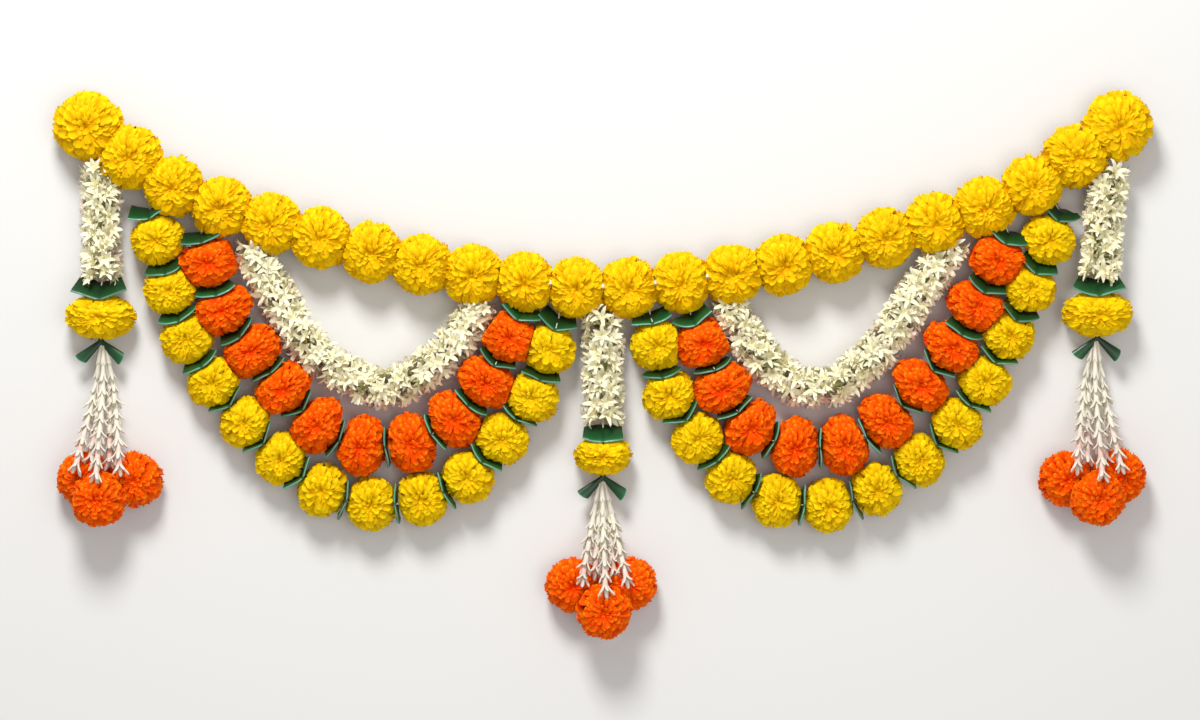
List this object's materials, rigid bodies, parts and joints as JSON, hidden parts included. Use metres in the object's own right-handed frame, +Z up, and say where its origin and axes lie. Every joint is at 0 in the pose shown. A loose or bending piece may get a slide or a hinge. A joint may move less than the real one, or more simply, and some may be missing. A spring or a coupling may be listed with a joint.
{
  "type": "marigold garland",
  "caption": "Door garland laid flat: a drooping string of yellow marigolds with leafy marigold swags, jasmine swags and three tassels with orange blooms.",
  "frame": {"origin": "middle of the garland's outline, on the surface that it rests on", "axes": "+X along the garland to the right, +Y up the doorway that it would hang in, +Z up from the surface"},
  "size_m": [0.9882, 0.4914, 0.0692],
  "materials": {
    "yellow_petals": "matte golden yellow petals",
    "orange_petals": "matte orange petals",
    "jasmine_white": "waxy cream-white petals",
    "leaf_green": "glossy deep green leaf",
    "cotton_thread": "plain cotton"
  },
  "bodies": {
    "root": {"main_thread": "cotton_thread", "main_bloom_01": "yellow_petals", "main_bloom_02": "yellow_petals", "main_bloom_03": "yellow_petals", "main_bloom_04": "yellow_petals", "main_bloom_05": "yellow_petals", "main_bloom_06": "yellow_petals", "main_bloom_07": "yellow_petals", "main_bloom_08": "yellow_petals", "main_bloom_09": "yellow_petals", "main_bloom_10": "yellow_petals", "main_bloom_11": "yellow_petals", "main_bloom_12": "yellow_petals", "main_bloom_13": "yellow_petals", "main_bloom_14": "yellow_petals", "main_bloom_15": "yellow_petals", "main_bloom_16": "yellow_petals", "main_bloom_17": "yellow_petals", "main_bloom_18": "yellow_petals", "main_bloom_19": "yellow_petals", "main_bloom_20": "yellow_petals", "main_bloom_21": "yellow_petals", "main_bloom_22": "yellow_petals", "left_outer_blooms_1": "yellow_petals", "left_outer_blooms_2": "yellow_petals", "left_outer_blooms_3": "yellow_petals", "left_outer_leafy_thread": "leaf_green", "left_inner_blooms_1": "orange_petals", "left_inner_blooms_2": "orange_petals", "left_inner_blooms_3": "orange_petals", "left_inner_leafy_thread": "leaf_green", "left_jasmine_swag_1": "jasmine_white", "left_jasmine_swag_2": "jasmine_white", "left_jasmine_swag_3": "jasmine_white", "right_outer_blooms_1": "yellow_petals", "right_outer_blooms_2": "yellow_petals", "right_outer_blooms_3": "yellow_petals", "right_outer_leafy_thread": "leaf_green", "right_inner_blooms_1": "orange_petals", "right_inner_blooms_2": "orange_petals", "right_inner_blooms_3": "orange_petals", "right_inner_leafy_thread": "leaf_green", "right_jasmine_swag_1": "jasmine_white", "right_jasmine_swag_2": "jasmine_white", "right_jasmine_swag_3": "jasmine_white", "left_tassel_jasmine": "jasmine_white", "left_tassel_leafy_thread": "leaf_green", "left_tassel_bloom": "yellow_petals", "left_tassel_buds": "jasmine_white", "left_tassel_bunch": "orange_petals", "middle_tassel_jasmine": "jasmine_white", "middle_tassel_leafy_thread": "leaf_green", "middle_tassel_bloom": "yellow_petals", "middle_tassel_buds": "jasmine_white", "middle_tassel_bunch": "orange_petals", "right_tassel_jasmine": "jasmine_white", "right_tassel_leafy_thread": "leaf_green", "right_tassel_bloom": "yellow_petals", "right_tassel_buds": "jasmine_white", "right_tassel_bunch": "orange_petals"}
  },
  "joints": []
}
